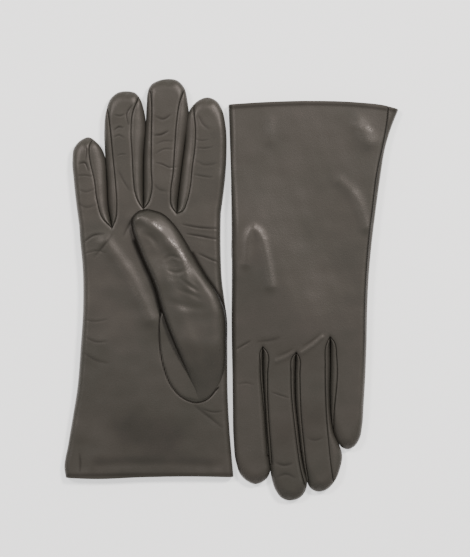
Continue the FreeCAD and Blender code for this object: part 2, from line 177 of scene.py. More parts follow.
def depth_inside(places, outline):
    """Distance from a closed outline, more than 0 inside it and less than 0 outside."""
    x, y = places[..., 0], places[..., 1]
    inside = np.zeros(x.shape, bool)
    for (x0, y0), (x1, y1) in zip(outline[:-1], outline[1:]):
        if y0 != y1:
            crosses = ((y0 > y) != (y1 > y)) & (x < x0 + (y - y0) * (x1 - x0) / (y1 - y0))
            inside ^= crosses
    distance = nearest(places, outline, 40.0)[0]
    return np.where(inside, distance, -distance)


def bell(distance, width):
    """1 on a line, falling away to nothing on both sides."""
    return np.exp(-((distance / width) ** 2))


def marked(marks, step):
    """Marks as (curve, strength, width), from (points, strength, width)."""
    return [(smooth_line(points, step), strength, width) for points, strength, width in marks]


def spread(places, marks):
    """How strong the soft-edged marks are at each place, from 0 to 1."""
    total = np.zeros(places.shape[:-1])
    for line, strength, width in marks:
        total = np.maximum(total, strength * bell(nearest(places, line, 3.0 * width)[0], width))
    return total


def fade_along(line, length, margin):
    """1 at a line's middle, falling towards its ends. The margin is the share of its length at each end
    over which it falls no further."""
    part = np.clip(length / run_of(line)[-1], margin, 1 - margin)
    return np.sqrt(np.clip(np.sin(math.pi * part), 0, 1))


def rolled(distance, radius):
    """Height from 0 to 1 of leather that rolls over at an edge, by the distance from that edge."""
    t = np.clip(distance / np.maximum(radius, 1e-6), 0, 1)
    return np.sqrt(np.clip(1 - (1 - t) ** 2.2, 0, 1))


# ---- the two gloves


class Glove:
    """One glove's outline, seams, creases and swells, and the heights of its two skins."""

    def __init__(self, side, origin, forward, outline, heights, marks, under=None):
        self.side, self.origin = side, origin
        self.forward = forward  # 1 with the fingers along +Y and -1 when turned end for end
        self.cuff = smooth_line(outline["cuff"])
        self.crotches = [np.array(c, float) for c in outline["crotches"]]
        self.left_hand = smooth_line(outline["left_hand"])
        self.right_hand = smooth_line(outline["right_hand"])
        self.fingers = {name: self.finger(name, outline[name], outline["contacts"]) for name in FINGERS}
        self.left_outline = np.vstack([self.left_hand, self.fingers["little"]["left_edge"]])[::3]
        self.right_outline = np.vstack([self.right_hand, self.fingers["index"]["right_edge"]])[::3]
        self.heights = heights
        self.creases = marked(marks["creases"], 1.5)
        self.swells = marked(marks["swells"], 4.0)
        self.cuts = marked(marks["cuts"], 1.5)
        self.shadows = marked(marks["shadows"], 3.0)
        self.glints = marked(marks["glints"], 3.0)
        self.under = under
        self.margin = smooth_line(marks["margin"], 1.5) if "margin" in marks else None
        # Per-vertex marks: painted shade, and how polished the leather is.
        self.surface = {"painted_shade": self.painted_shade, "polish": self.polish}
        self.seams = [
            line[::2]
            for finger in self.fingers.values()
            for line in (finger["left_seam"], finger["right_seam"])
            if line is not None
        ]

    def finger(self, name, given, contacts):
        """A finger's four lines, each from its crotch to the tip. An outer side has no seam."""
        index = FINGERS.index(name)
        starts = (self.crotches[index - 1] if index else self.left_hand[-1],
                  self.crotches[index] if index < 3 else self.right_hand[-1])
        tip = np.array(given["tip"], float)
        left = (contacts[index - 1] if index else []) + given["left"]
        right = (contacts[index] if index < 3 else []) + given["right"]
        around = smooth_line([starts[0], *left, tip, *right[::-1], starts[1]])
        apex = int(np.argmin(np.linalg.norm(around - tip, axis=1)))
        lines = {"left_edge": around[: apex + 1], "right_edge": around[: apex - 1 : -1]}
        for label, start in zip(("left", "right"), starts):
            seam = given.get(f"{label}_seam")
            lines[f"{label}_seam"] = smooth_line([start, *seam]) if seam else None
        return lines

    def world(self, points):
        """From the glove's millimetres to the frame's metres."""
        return (points * (self.forward, self.forward, 1) + (*self.origin, 0)) * MM

    def seam_distance(self, places):
        """Distance from the nearest fourchette seam."""
        return np.min([nearest(places, line, 8.0)[0] for line in self.seams], axis=0)

    def edge_roll(self, places, finger=None):
        """How far up the leather is, 0 at the outline and 1 where it lies flat."""
        roll = np.ones(places.shape[:-1])
        width = ROLL
        if finger:
            tip = self.fingers[finger]["left_edge"][-1]
            near_tip = 1 - smoothstep(np.linalg.norm(places - tip, axis=-1), 6.0, 24.0)
            width = ROLL * (1 + 0.7 * near_tip)
        for line in (self.left_outline, self.right_outline):
            roll = roll * rolled(nearest(places, line)[0], width)
        if finger:
            lines = self.fingers[finger]
            if finger != "little":
                roll = roll * self.side_roll(places, lines["left_edge"], width)
            if finger != "index":
                roll = roll * self.side_roll(places, lines["right_edge"], width)
        return roll

    def side_roll(self, places, edge, width):
        """The roll beside a neighbouring finger, which starts from nothing at the crotch."""
        distance, length = nearest(places, edge[::2])
        radius = width * 0.9 * smoothstep(length, 0.0, 14.0)
        return np.where(radius > 0.01, rolled(distance, radius), 1.0)

    def middle_height(self, places):
        """Height of the glove's outline, where its two skins meet."""
        middle = smooth_value(places[..., 1], self.heights["middle"])
        if self.under:
            rim = nearest(places, smooth_line(self.under["rim"], 3.0), 30.0)[0]
            middle = middle + self.under["rim_rise"] * (1 - smoothstep(rim, 0.0, 26.0))
        return middle

    def relief(self, places):
        """Creases, long swells and the slow unevenness of leather that lies loose."""
        total = np.zeros(places.shape[:-1])
        for line, rise, width in self.swells:
            total = total + rise * bell(nearest(places, line, 3.0 * width)[0], width)
        for line, depth, width in self.creases:
            distance, length = nearest(places, line, 5.0 * width)
            banks = 0.2 * bell(distance - 2.0 * width, 1.2 * width)
            fold = banks - bell(distance, 0.75 * width)
            total = total + CREASE_SHARE * depth * fade_along(line, length, 0.02) * fold
        return total + waves(places, 0.0) * self.heights["waves"]

    def painted_shade(self, places):
        """Painted shade from 0 to 1: the shade in the leather's seams and folds, painted into its colour."""
        dark = 0.8 * bell(self.seam_distance(places), 0.45)
        for line, depth, width in self.creases:
            distance, length = nearest(places, line, 3.0)
            fold = fade_along(line, length, 0.0) * bell(distance, 0.5 * width + 0.1)
            dark = np.maximum(dark, min(1.0, 1.3 * depth) * fold)
        for line, _, _ in self.cuts:
            dark = np.maximum(dark, bell(nearest(places, line, 3.0)[0], 0.5))
        if self.margin is not None:
            beside = bell(nearest(places, self.margin, 3.0)[0], 0.5)
            dark = np.maximum(dark, beside * self.margin_share(places))
        return np.maximum(dark, spread(places, self.shadows))

    def polish(self, places):
        """How rubbed and glossy the leather is, from 0 to 1."""
        return spread(places, self.glints)

    def upper(self, places, finger=None, with_cut=True):
        """Height of the upper skin."""
        roll = self.edge_roll(places, finger)
        middle = self.middle_height(places)
        top = smooth_value(places[..., 1], self.heights["top"])
        seam = self.seam_distance(places)
        total = middle + (top - middle + self.relief(places)) * roll
        total = total - SEAM_DIP * bell(seam, SEAM_DIP_WIDTH) * roll
        if with_cut:
            total = total - SEAM_CUT * bell(seam, SEAM_CUT_WIDTH) * np.sqrt(roll)
            for line, depth, width in self.cuts:
                distance, length = nearest(places, line, 4.0)
                ends = smoothstep(np.minimum(length, run_of(line)[-1] - length), 0.0, 3.0)
                total = total - depth * bell(distance, width) * ends
            if self.margin is not None:
                seam_x = np.interp(places[..., 1], self.margin[:, 1], self.margin[:, 0])
                beside = 1 - smoothstep(places[..., 0] - seam_x, -0.7, 0.0)
                total = total - MARGIN_STEP * beside * self.margin_share(places) * roll
        return total

    def margin_share(self, places):
        """1 where the outseam's margin stands clear, falling to 0 where it runs out on the little finger."""
        end = self.margin[-1, 1]
        return 1 - smoothstep(places[..., 1], end - 40, end)

    def lower(self, places, finger=None):
        """Height of the lower skin, which lies on the table, or over the folded thumb."""
        roll = self.edge_roll(places, finger) ** 0.75
        middle = self.middle_height(places)
        floor = TABLE_GAP + 0.6 * bell(self.seam_distance(places), SEAM_DIP_WIDTH)
        if self.under:
            over_thumb = smoothstep(depth_inside(places, self.under["outline"]), -6.0, -0.6)
            roof = THUMB_BASE_ROOF + (THUMB_ROOF - THUMB_BASE_ROOF) * smoothstep(places[..., 1], 34.0, 62.0)
            floor = floor + over_thumb * (roof - TABLE_GAP)
        return middle + (floor - middle) * roll


def make_waves(seed, count=40):
    """Long, low waves of random direction: (per-mm along X, per-mm along Y, height, start)."""
    random = np.random.default_rng(seed)
    made = []
    for i in range(count):
        length = 9.0 + 38.0 * (i + 0.5) / count
        angle = 2.4 * i + random.uniform(0, 0.6)
        step = 2 * math.pi / length
        rise = 0.0035 * length ** 0.6 * random.uniform(0.6, 1.4)
        made.append((step * math.cos(angle), step * math.sin(angle), rise, random.uniform(0, 6.28)))
    return made


WAVES = make_waves(7)


def waves(places, phase):
    """The slow unevenness of leather that lies loose."""
    total = np.zeros(places.shape[:-1])
    for wave_x, wave_y, rise, start in WAVES:
        total = total + rise * np.sin(wave_x * places[..., 0] + wave_y * places[..., 1] + start + phase)
    return total


# The right glove, palm up. Each line runs from the crotch towards the tip, and the tip ends it.
RIGHT_OUTLINE = {
    "cuff": [(-57.4, 0.4), (-40, -0.3), (0, 1), (30, 1.4), (57.2, 0.9)],
    "left_hand": [(-57.4, 0.4), (-58.2, 5.5), (-55.6, 23), (-52.6, 41), (-49.4, 61), (-47.2, 88),
                  (-45.5, 116), (-45.8, 143), (-47.6, 163), (-48.2, 172)],
    "right_hand": [(57.2, 0.9), (55.9, 15), (54.4, 34), (53.3, 56), (53, 90), (52.8, 108), (51.2, 120),
                   (49.2, 136), (48.6, 150), (48.4, 168), (48.6, 180)],
    "crotches": [(-25.6, 170.4), (-4.2, 183.4), (18.6, 180.2)],
    # Where neighbouring fingers touch, from each crotch on.
    "contacts": [
        [(-28.2, 184.3), (-29.2, 203), (-30.3, 217.5)],
        [(-4.4, 195), (-4.1, 220), (-2.7, 242)],
        [(18.9, 186), (20.7, 203), (23.7, 226), (26.6, 249)],
    ],
    "little": {
        "left": [(-50.2, 187), (-51.9, 203), (-52.8, 216), (-51.6, 224.6), (-47.8, 229.4)],
        "right_seam": [(-31.6, 176.5), (-35.3, 188), (-37.4, 203), (-40, 214.5), (-41, 222), (-40.4, 227.5),
                       (-38.6, 230)],
        "right": [(-32.5, 223.8), (-36.4, 228.8)],
        "tip": (-41.4, 232),
    },
    "ring": {
        "left": [(-31.1, 236), (-29.7, 250), (-26.2, 258.8), (-21.8, 262.4)],
        "left_seam": [(-23, 177), (-22.5, 185), (-23.4, 201), (-25.4, 221), (-27, 238), (-28.6, 251)],
        "right_seam": [(-7, 187.2), (-9.6, 194), (-10.8, 204), (-11.6, 220), (-12.4, 236), (-11.3, 248.6),
                       (-7.6, 258.6)],
        "right": [(-4.2, 251.4), (-6.6, 258.4), (-9.8, 262.2)],
        "tip": (-15.4, 263.4),
    },
    "middle": {
        "left": [(-2.1, 255), (-1.5, 262.2), (1, 267.8), (5.8, 270.6)],
        "left_seam": [(-0.9, 187.4), (1, 194), (0.9, 211), (1.1, 236), (1.3, 252), (0.6, 263.2)],
        "right_seam": [(15.2, 184.6), (14.5, 193), (16.1, 207), (17.4, 226), (18.7, 243), (21, 257),
                       (23.4, 264)],
        "right": [(25.8, 256.5), (23.3, 266), (18.8, 270.7)],
        "tip": (12.2, 271.8),
    },
    "index": {
        "left": [(29.4, 253.6), (33.6, 257.4)],
        "left_seam": [(22, 181.4), (25.2, 188), (27.5, 198), (28.8, 211), (30.7, 226), (31, 238),
                      (30.2, 247), (29.8, 253.6)],
        "right": [(50.2, 192), (51.7, 206), (52.5, 222), (51.8, 240), (49.2, 251.2), (45.2, 257)],
        "tip": (39, 259.2),
    },
}
RIGHT_HEIGHTS = {
    "waves": 1,  # share of the slow unevenness
    "middle": [(-5, 3.6), (30, 4.4), (110, 4.9), (180, 4.9), (275, 4.4)],
    "top": [(-5, 7.6), (20, 8.6), (60, 10), (120, 10.6), (185, 10.2), (225, 9.8), (255, 9.4), (275, 9)],
}
RIGHT_MARKS = {
    # Folds as (points, depth, width).
    "creases": [
        ([(-47.6, 3), (-47.2, 9), (-47.8, 17)], 0.3, 1.3),
        ([(-45, 160), (-38, 165), (-30, 166)], 0.43, 0.86),
        ([(-45.5, 152), (-36, 154.5), (-29, 153)], 0.22, 0.79),
        ([(22, 172.5), (33, 170.4), (47, 169.4)], 0.5, 0.73),
        ([(25, 166), (36, 164.2), (47, 162)], 0.56, 0.73),
        ([(33, 153), (41, 149), (47, 146.5)], 0.5, 0.79),
        ([(-25, 166), (-32, 157), (-38, 150)], 0.31, 1.32),
        ([(-8, 180), (-14, 172), (-18, 164)], 0.31, 1.58),
        ([(-45, 108), (-38, 106.5), (-28, 108)], 0.19, 0.92),
        ([(-44, 96), (-36, 92.5), (-28, 93)], 0.22, 1.06),
        ([(-46, 86), (-36, 80), (-27, 78)], 0.19, 1.45),
        ([(35, 47.5), (43, 44.8), (50, 45.4)], 0.31, 0.86),
        ([(30, 50), (40, 42), (50, 34)], 0.28, 1.58),
        ([(-24, 236.5), (-21, 238.8), (-17.5, 238)], 0.46, 0.59),
        ([(-24, 231.8), (-20.5, 233.2), (-17, 231)], 0.31, 0.66),
        ([(-24, 247), (-20, 246.2), (-16.8, 247.6)], 0.31, 0.66),
        ([(-22, 219.4), (-18.5, 220.2), (-16, 219.8)], 0.28, 0.59),
        ([(-14.4, 240), (-15.4, 248), (-11.6, 254)], 0.43, 0.86),
        ([(-21, 209), (-17, 201), (-13, 195)], 0.28, 1.06),
        ([(3, 233), (8, 233.6), (13, 236)], 0.5, 0.86),
        ([(4, 246), (9, 244), (15, 247.5)], 0.34, 0.99),
        ([(4, 227), (9, 229), (16, 229)], 0.22, 0.86),
        ([(4, 214.4), (9, 213.2), (13, 211.2), (17, 211)], 0.43, 0.59),
        ([(4, 220.5), (10, 223.8), (16, 223.5)], 0.25, 0.73),
        ([(3, 200), (7, 196), (12, 195)], 0.22, 1.32),
        ([(32, 224.6), (37, 224.2), (43, 225)], 0.28, 0.59),
        ([(31, 230.6), (35, 229.4), (40, 230)], 0.22, 0.59),
        ([(30, 206.4), (35, 205.4), (43, 204.2)], 0.31, 0.66),
        ([(31, 216), (37, 213), (46, 214)], 0.19, 1.06),
        ([(33, 247), (37, 240), (41, 237)], 0.25, 1.19),
        ([(-48, 213.5), (-44.5, 214.6), (-41.5, 209)], 0.5, 0.79),
        ([(-44, 228), (-42.8, 222), (-43.6, 216)], 0.37, 0.73),
        ([(-49, 205.5), (-44, 205.8), (-39, 205)], 0.28, 0.66),
        ([(-48, 196), (-43, 194.5), (-37, 197)], 0.19, 0.92),
        ([(-49, 187), (-43, 184), (-36, 186)], 0.19, 1.19),
    ],
    # Long rises as (points, height, width).
    "swells": [
        ([(-30, 160), (-14, 138), (0, 108)], 1.3, 5),
        ([(-8, 176), (4, 172), (16, 174)], 0.5, 6),
        ([(-30, 90), (-10, 60), (5, 20)], 0.6, 14),
        ([(-46, 22), (-46, 8)], -0.5, 5),
        ([(-34, 9), (0, 10), (46, 8.5)], -0.45, 3.6),
    ],
    # Painted shade: shadows in the hollows beside the folded thumb, a dark band at the cuff's turned edge
    # and slow darker patches, as (points, darkness, width).
    "shadows": [
        ([(22, 79), (13.5, 98.7), (7.9, 114.5), (3.4, 130.3), (-4.5, 148.3), (-10, 161)], 0.85, 1.7),
        ([(52.6, 96), (51.2, 113), (47, 124.6), (38.4, 137.4), (29.3, 152.8)], 0.85, 1.3),
        ([(-56, 1.6), (0, 2.2), (56, 2.2)], 0.35, 1.4),
        ([(-12, 33), (12, 26)], 0.24, 14),
        ([(-36, 10), (0, 11), (40, 9)], 0.14, 5),
    ],
    # Rubbed, glossier spots as (points, gloss, width).
    "glints": [
        ([(-22, 146), (-10, 128), (-2, 112)], 0.5, 3),
        ([(-30, 92), (-20, 86)], 0.3, 3),
    ],
    "cuts": [
        ([(7.6, 116), (6.6, 94), (9.5, 76), (15, 62.4), (23.2, 54), (32.7, 51.2), (38, 52.7),
          (46.8, 61.6)], 0.55, 0.5),
    ],
}
# The left glove, back up.
LEFT_OUTLINE = {
    "cuff": [(-58, 3.2), (-49.3, 0.8), (-30, -1.4), (1.7, -2.4), (30, -1.7), (57.9, 0)],
    "left_hand": [(-58, 3.2), (-53.6, 14), (-49.3, 28), (-45.6, 50), (-42.6, 72), (-39.8, 95), (-38, 115),
                  (-37, 135), (-36.6, 152), (-36.5, 160)],
    "right_hand": [(57.9, 0), (57.1, 20), (56.2, 48), (55.6, 80), (55.7, 120), (55.8, 150), (55.6, 164)],
    "crotches": [(-11.3, 157.8), (11.8, 168.3), (34.5, 164.6)],
    "contacts": [
        [(-11.6, 178), (-11.3, 196), (-12.1, 212), (-14.4, 224.2), (-17.4, 230.6)],
        [(12.5, 186), (12.1, 202), (10.2, 220), (8.2, 237), (5.8, 250), (4.2, 256.6)],
        [(34.3, 183), (33.2, 202), (31.7, 224), (29.9, 243), (29.3, 248.4)],
    ],
    "little": {
        "left": [(-36.1, 172), (-35.4, 188), (-34.4, 205), (-33.5, 218), (-31.4, 227.6), (-27.8, 232.6)],
        "right_seam": [(-14.2, 161.6), (-15.6, 171), (-16.1, 183), (-15.2, 196), (-13.9, 209), (-13.6, 220)],
        "right": [(-19.6, 233.2)],
        "tip": (-23.4, 234.4),
    },
    "ring": {
        "left": [(-19.8, 238.5), (-18.3, 247.6), (-14.5, 256.4), (-9.6, 261.6)],
        "left_seam": [(-8.9, 163), (-8.2, 178), (-8.4, 196), (-9.2, 214), (-10.7, 231), (-12.3, 246),
                      (-13.6, 256.4)],
        "right_seam": [(9.8, 171.6), (9.4, 184), (9, 200), (8.3, 214), (6.6, 231), (5, 246),
                       (3.2, 257)],
        "right": [(2.4, 260.4), (-0.4, 262.6)],
        "tip": (-4.4, 263.4),
    },
    "middle": {
        "left": [(5, 261.6), (7.4, 266), (11.4, 268.6)],
        "left_seam": [(14.3, 171.6), (15.1, 184), (14.8, 196), (13, 215), (10.8, 233), (8.2, 249.5),
                      (5.8, 258.6)],
        "right_seam": [(32, 167.6), (31.4, 184), (31.4, 197), (30.6, 214), (29.3, 232), (28.4, 245)],
        "right": [(28.3, 254.4), (25.3, 263), (21.4, 267.8)],
        "tip": (16.4, 269.4),
    },
    "index": {
        "left": [(31, 253.4), (34.4, 256.6)],
        "left_seam": [(36.2, 168.4), (36.1, 176), (35.8, 186), (34.6, 197), (33.2, 210),
                      (32.2, 224), (31, 239)],
        "right": [(55.3, 180), (55, 204), (54.4, 228), (52.8, 243), (49.6, 251.8), (45, 256.2)],
        "tip": (39.2, 258.2),
    },
}
LEFT_HEIGHTS = {
    "waves": 0.6,
    "middle": [(-5, 3.8), (30, 4.8), (110, 5.6), (165, 5.2), (275, 4.4)],
    "top": [(-5, 8.2), (20, 9.4), (60, 10.6), (110, 11), (150, 10.8), (178, 10.4), (220, 10), (275, 9.2)],
}
LEFT_RIM = [(55.5, 42), (55.2, 70), (55.2, 96)]  # where the edge stands up over the folded thumb
LEFT_MARKS = {
    "creases": [
        ([(53, 166.5), (48, 163.4), (42.6, 160.2)], 0.37, 0.99),
        ([(25, 170.6), (18, 168), (13.5, 165)], 0.16, 1.5),
        ([(8, 164.4), (0, 159.4), (-5.5, 155)], 0.2, 1.5),
        ([(39, 161), (30, 160), (22, 158)], 0.22, 1.8),
        ([(28.4, 195.4), (22.5, 197.4), (16.6, 199.4)], 0.31, 0.73),
        ([(52, 190), (46, 189), (40, 190.4)], 0.19, 0.92),
        ([(26, 243), (20, 245), (14, 243.6)], 0.31, 1.45),
        ([(25, 253), (19, 251), (12, 253.6)], 0.25, 1.32),
        ([(5, 226), (-1, 228), (-7, 226)], 0.22, 1.45),
    ],
    "swells": [
        ([(42, 84), (26, 118), (12, 146)], 2.8, 27),
        ([(46.2, 108), (45.4, 99), (43.8, 89), (40.6, 84.6), (37, 87.5), (33.6, 98), (31, 110), (29.2, 123)],
         0.8, 3.4),
        ([(-30, 13), (-38, 24)], 0.8, 5.5),
        ([(-18, 52), (-28, 62), (-33.4, 74), (-36, 83)], 0.6, 4),
        ([(30, 11), (30, 24)], 0.4, 4),
        ([(25, 174.2), (19, 171.8), (13.5, 168.6)], 0.35, 1.5),
        ([(8, 168.6), (0, 163.2), (-5.5, 158.2)], 0.45, 1.5),
    ],
    # Painted shade: a dark band under the cuff's turned edge and a slow darker patch over the middle
    # fingers, as (points, darkness, width).
    "shadows": [
        ([(-55, 3.6), (-30, 0.6), (1.7, -0.6), (30, 0.2), (56, 1.6)], 0.45, 1.2),
        ([(21, 226), (1, 214)], 0.16, 13),
    ],
    "cuts": [],
    # Rubbed, glossier spots as (points, gloss, width).
    "glints": [
        ([(44.9, 102), (43.4, 89), (40.4, 84.2), (36.8, 87.5), (32.9, 98), (30.4, 110),
          (28.7, 121)], 0.7, 2.6),
        ([(29.2, 118), (28.5, 122)], 1, 2.2),
        ([(-29.5, 13.2), (-31.5, 15)], 1, 1.8),
        ([(-37.5, 15.6), (-39.5, 17)], 0.9, 1.6),
        ([(-30.5, 19), (-33, 22)], 0.8, 2.2),
        ([(-36, 23), (-38.5, 25.5)], 0.6, 2),
        ([(-27, 61), (-32.2, 73), (-35.3, 81)], 0.8, 2.4),
        ([(29.5, 13), (29.5, 18)], 0.5, 2.2),
        ([(25, 174.2), (19, 171.8), (13.5, 168.6)], 0.5, 1),
        ([(8, 168.6), (0, 163.2), (-5.5, 158.2)], 0.8, 1),
    ],
    # The outseam, with a narrow margin of the palm's leather outside it.
    "margin": [(-50.9, -3), (-50.6, 4.6), (-48.2, 22.8), (-42.9, 47.6), (-40, 72), (-37.6, 92), (-36, 112),
               (-34.9, 136), (-34.6, 160), (-34.2, 178), (-33, 196)],
}


# ---- meshes


def grid_faces(rows, columns, flip):
    """Four-sided faces of a grid of vertices counted row by row."""
    i, j = np.meshgrid(np.arange(rows - 1), np.arange(columns - 1), indexing="ij")
    a = (i * columns + j).ravel()
    quads = np.stack([a, a + 1, a + columns + 1, a + columns], 1)
    return quads[:, ::-1] if flip else quads


def join_grids(grids):
    """Vertices and faces of (points, flip) grids, with vertices at the same place made one."""
    points, faces, start = [], [], 0
    for grid, flip in grids:
        rows, columns = grid.shape[:2]
        points.append(grid.reshape(-1, 3))
        faces.append(grid_faces(rows, columns, flip) + start)
        start += rows * columns
    points, faces = np.vstack(points), np.vstack(faces)
    _, first, same = np.unique(np.round(points, 3), axis=0, return_index=True, return_inverse=True)
    return points[first], same.ravel()[faces]


def vertex_normals(points, faces):
    """Area-weighted normals."""
    a, b, c, d = (points[faces[:, k]] for k in range(4))
    across = np.cross(c - a, d - b)
    total = np.zeros_like(points)
    for k in range(4):
        np.add.at(total, faces[:, k], across)
    return total / np.maximum(np.linalg.norm(total, axis=1, keepdims=True), 1e-12)


def make_piece(node, glove, grids, materials, body, skin=None, marks=None):
    """The leather or lining that stands for a CAD node, from its grids in the glove's frame. The body is
    a name, which the piece is attached to, or a blend as (hand, part, start, end), which is not used: such
    a piece is only baked in place. The skin gives normals that run on from one piece to the next where one
    leather was cut in two without a seam. The marks give how much painted shade darkens the upper leather
    and how polished it is at each place."""
    points, faces = join_grids(grids)
    own = vertex_normals(points, faces)
    if skin is not None:
        own = skin.normals_at(points, own)
    normals = own * (glove.forward, glove.forward, 1)
    polygons = []
    for face in faces.tolist():
        corners = [v for k, v in enumerate(face) if v != face[k - 1]]
        if len(set(corners)) == len(corners) and len(corners) > 2:
            polygons.append(corners)
    mesh = bpy.data.meshes.new(node)
    mesh.from_pydata(glove.world(points).tolist(), [], polygons)
    mesh.validate()
    mesh.polygons.foreach_set("use_smooth", [True] * len(mesh.polygons))
    mesh.normals_split_custom_set_from_vertices(normals.tolist())
    for label, mark in (marks or {}).items():
        value = mark(points[:, :2]) * (own[:, 2] > 0.05)
        mesh.attributes.new(label, "FLOAT", "POINT").data.foreach_set("value", value)
    slot = "lining" if node.endswith("lining") else "leather"
    mesh.materials.append(materials[slot])
    piece = bpy.data.objects.new(node, mesh)
    bpy.context.scene.collection.objects.link(piece)
    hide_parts(node)
    if isinstance(body, str):
        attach(piece, body)
    else:
        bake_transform(piece)


class Skin:
    """The uncut leather of a glove, kept for its normals."""

    def __init__(self, grids):
        points, faces = join_grids(grids)
        normals = vertex_normals(points, faces)
        self.table = {key: n for key, n in zip(map(tuple, np.round(points, 3).tolist()), normals)}

    def normals_at(self, points, own):
        """The uncut leather's normals, and the piece's own ones where it has places that the skin lacks."""
        keys = map(tuple, np.round(points, 3).tolist())
        return np.array([self.table.get(key, n) for key, n in zip(keys, own)])


# ---- leather shapes


def close_ends(count, even=0.25):
    """Fractions from 0 to 1 that lie closer together near both ends, the less so the more even."""
    u = np.linspace(0, 1, count)
    return even * u + (1 - even) * (1 - np.cos(math.pi * u)) / 2


def finger_rows(glove, name):
    """Plan of a finger: for each row its edges and seams, and the row where each seam runs out."""
    lines = glove.fingers[name]
    length = max(run_of(lines[f"{label}_edge"])[-1] for label in ("left", "right"))
    share = np.linspace(0, 1, int(length / GRID) + 1)
    rows = {}
    for label, away in (("left", 1.0), ("right", -1.0)):
        edge = along(lines[f"{label}_edge"], share)
        seam = lines[f"{label}_seam"]
        if seam is None:
            rows[label] = (edge, edge, 0)
            continue
        press = PRESS * smoothstep(share * length, 0.0, 4.0) * (1 - smoothstep(share, 0.85, 1.0))
        edge = edge - np.stack([away * press, 0 * press], -1)
        meets = nearest(seam[-1:], lines[f"{label}_edge"], 60.0)[1][0] / run_of(lines[f"{label}_edge"])[-1]
        last = int(round(meets * (len(share) - 1)))
        top = edge.copy()
        top[: last + 1] = along(seam, np.linspace(0, 1, last + 1))
        top[last] = edge[last]
        rows[label] = (edge, top, last)
    return rows


def strip(left, right, across):
    """Plan of the leather between two lines of the same number of places."""
    return left[:, None] + (right - left)[:, None] * across[None, :, None]


def with_height(plan, height):
    """Points in space from a plan and its heights."""
    return np.concatenate([plan, height[..., None]], -1)


def lower_seam(edge, top):
    """The seam on the lower side, nearer to the finger's edge than the upper one."""
    return edge + 0.75 * (top - edge)


def fourchette(glove, name, edge, top, last):
    """A finger's side: from the upper seam round the finger's edge to the lower seam."""
    edge, top = edge[: last + 1], top[: last + 1]
    low = lower_seam(edge, top)
    run = run_of(edge)
    drop_in = smoothstep(run, 0.0, 5.0) * (1 - smoothstep(run, 0.75 * run[-1], run[-1]))
    middle = glove.middle_height(edge) - SIDE_SINK * drop_in
    high_z = glove.upper(top, name, with_cut=False)
    low_z = glove.lower(low, name)
    width = np.linalg.norm(top - edge, axis=1)
    rows = []
    for phi in np.linspace(0, math.pi, SIDE_COLUMNS):
        inner = 1 - math.sin(phi)
        seam, height = (top, high_z) if phi <= math.pi / 2 else (low, low_z)
        plan = edge + (seam - edge) * inner
        drop = SEAM_CUT * bell(inner * width - width, SEAM_CUT_WIDTH) * (phi < math.pi / 2)
        z = middle + (height - middle) * abs(math.cos(phi)) ** 0.75 - drop * smoothstep(width, 0.0, 1.5)
        rows.append(with_height(plan, z))
    return np.stack(rows, 1)


def finger_grids(glove, name):
    """All the leather of a finger, each piece as a grid."""
    rows = finger_rows(glove, name)
    across = close_ends(FINGER_COLUMNS)
    plan = strip(*(top for _, top, _ in rows.values()), across)
    low_plan = strip(*(lower_seam(edge, top) for edge, top, _ in rows.values()), across)
    upper = with_height(plan, glove.upper(plan, name))
    lower = with_height(low_plan, glove.lower(low_plan, name))
    grids = {"upper": upper, "lower": lower}
    for label, column in (("left", 0), ("right", -1)):
        edge, top, last = rows[label]
        if last:
            side = fourchette(glove, name, edge, top, last)
            side[:, 0] = upper[: last + 1, column]
            side[:, -1] = lower[: last + 1, column]
            lower[last:, column] = upper[last:, column]
            side[last] = upper[last, column]
            grids[label] = side
        else:
            lower[:, column] = upper[:, column]
    lower[-1] = upper[-1]
    return grids


def first_rows(fingers, face):
    """The fingers' first rows as one row through the crotches, where neighbours share a corner."""
    return np.vstack([fingers[name][face][0, min(i, 1):] for i, name in enumerate(FINGERS)])


def hand_grids(glove, fingers):
    """Upper and lower leather of the hand, from the cuff to the line through the crotches."""
    front = first_rows(fingers, "upper")[:, :2]
    even = close_ends(len(front), 0.55)
    span = (front[:, 0] - front[0, 0]) / (front[-1, 0] - front[0, 0])
    rows = int(HAND_LENGTH / GRID)
    plan = np.zeros((rows + 1, len(front), 2))
    for r in range(rows + 1):
        share = r / rows
        across = even + (span - even) * smoothstep(share, 0.25, 1.0)
        start = along(glove.cuff, across)
        y = start[:, 1] + (front[:, 1] - start[:, 1]) * share
        low, high = (np.interp(y, line[:, 1], line[:, 0]) for line in (glove.left_hand, glove.right_hand))
        plan[r] = np.stack([low + across * (high - low), y], -1)
    plan[-1] = front
    upper = with_height(plan, glove.upper(plan))
    lower = with_height(plan, glove.lower(plan))
    lower[:, 0], lower[:, -1] = upper[:, 0], upper[:, -1]
    upper[-1] = first_rows(fingers, "upper")
    lower[-1] = first_rows(fingers, "lower")
    return upper, lower


def loop_normals(loop):
    """Outward normals of a tube given as rows of closed loops."""
    around = np.roll(loop, -1, axis=1) - np.roll(loop, 1, axis=1)
    onward = np.gradient(loop, axis=0)
    across = np.cross(around, onward)
    return across / np.maximum(np.linalg.norm(across, axis=-1, keepdims=True), 1e-9)


def closed(loop):
    """Rows of loops with each loop's first place again at its end."""
    return np.concatenate([loop, loop[:, :1]], axis=1)


